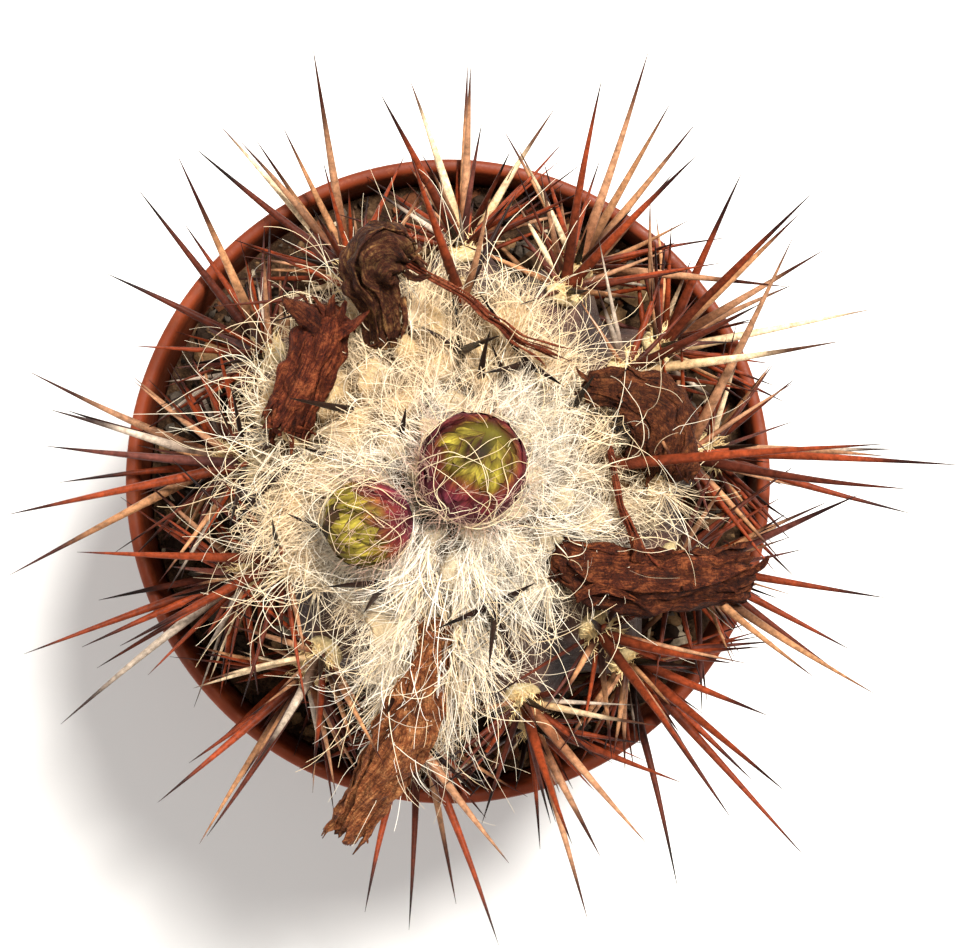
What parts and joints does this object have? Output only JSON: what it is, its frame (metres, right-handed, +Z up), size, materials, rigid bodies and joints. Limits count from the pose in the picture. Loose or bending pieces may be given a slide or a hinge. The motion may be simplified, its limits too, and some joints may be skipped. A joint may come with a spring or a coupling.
{
  "type": "potted neochilenia",
  "caption": "Small ribbed cactus with stout spines, a woolly crown, buds and dried flowers, in a round plastic pot of gritty soil.",
  "frame": {"origin": "centre of the pot's flat base, on the surface it stands on", "axes": "+Z up out of the soil; +X and +Y lie level, with the small bud leaning towards -X and the long dried flower hanging towards -Y"},
  "size_m": [0.1164, 0.1127, 0.118],
  "materials": {
    "pot_plastic": "satin moulded plastic, terracotta orange-brown",
    "soil_mix": "dull dark grit with grey and tan grains",
    "cactus_skin": "dull mauve-brown skin; rust, tan and dark spines; cream felt areoles",
    "wool_felt": "matted white to cream felt and long hairs",
    "bud_skin": "satin scales, crimson at the foot and olive-yellow at the tip, under fine hairs",
    "withered_petal": "dull brown fibrous dried petals"
  },
  "bodies": {
    "root": {"pot": "pot_plastic", "soil": "soil_mix", "cactus_body": "cactus_skin", "crown_wool": "wool_felt", "bud_large": "bud_skin", "bud_small": "bud_skin", "dried_flower_1": "withered_petal", "dried_flower_2": "withered_petal", "dried_flower_3": "withered_petal", "dried_flower_4": "withered_petal", "dried_flower_5": "withered_petal"}
  },
  "joints": []
}
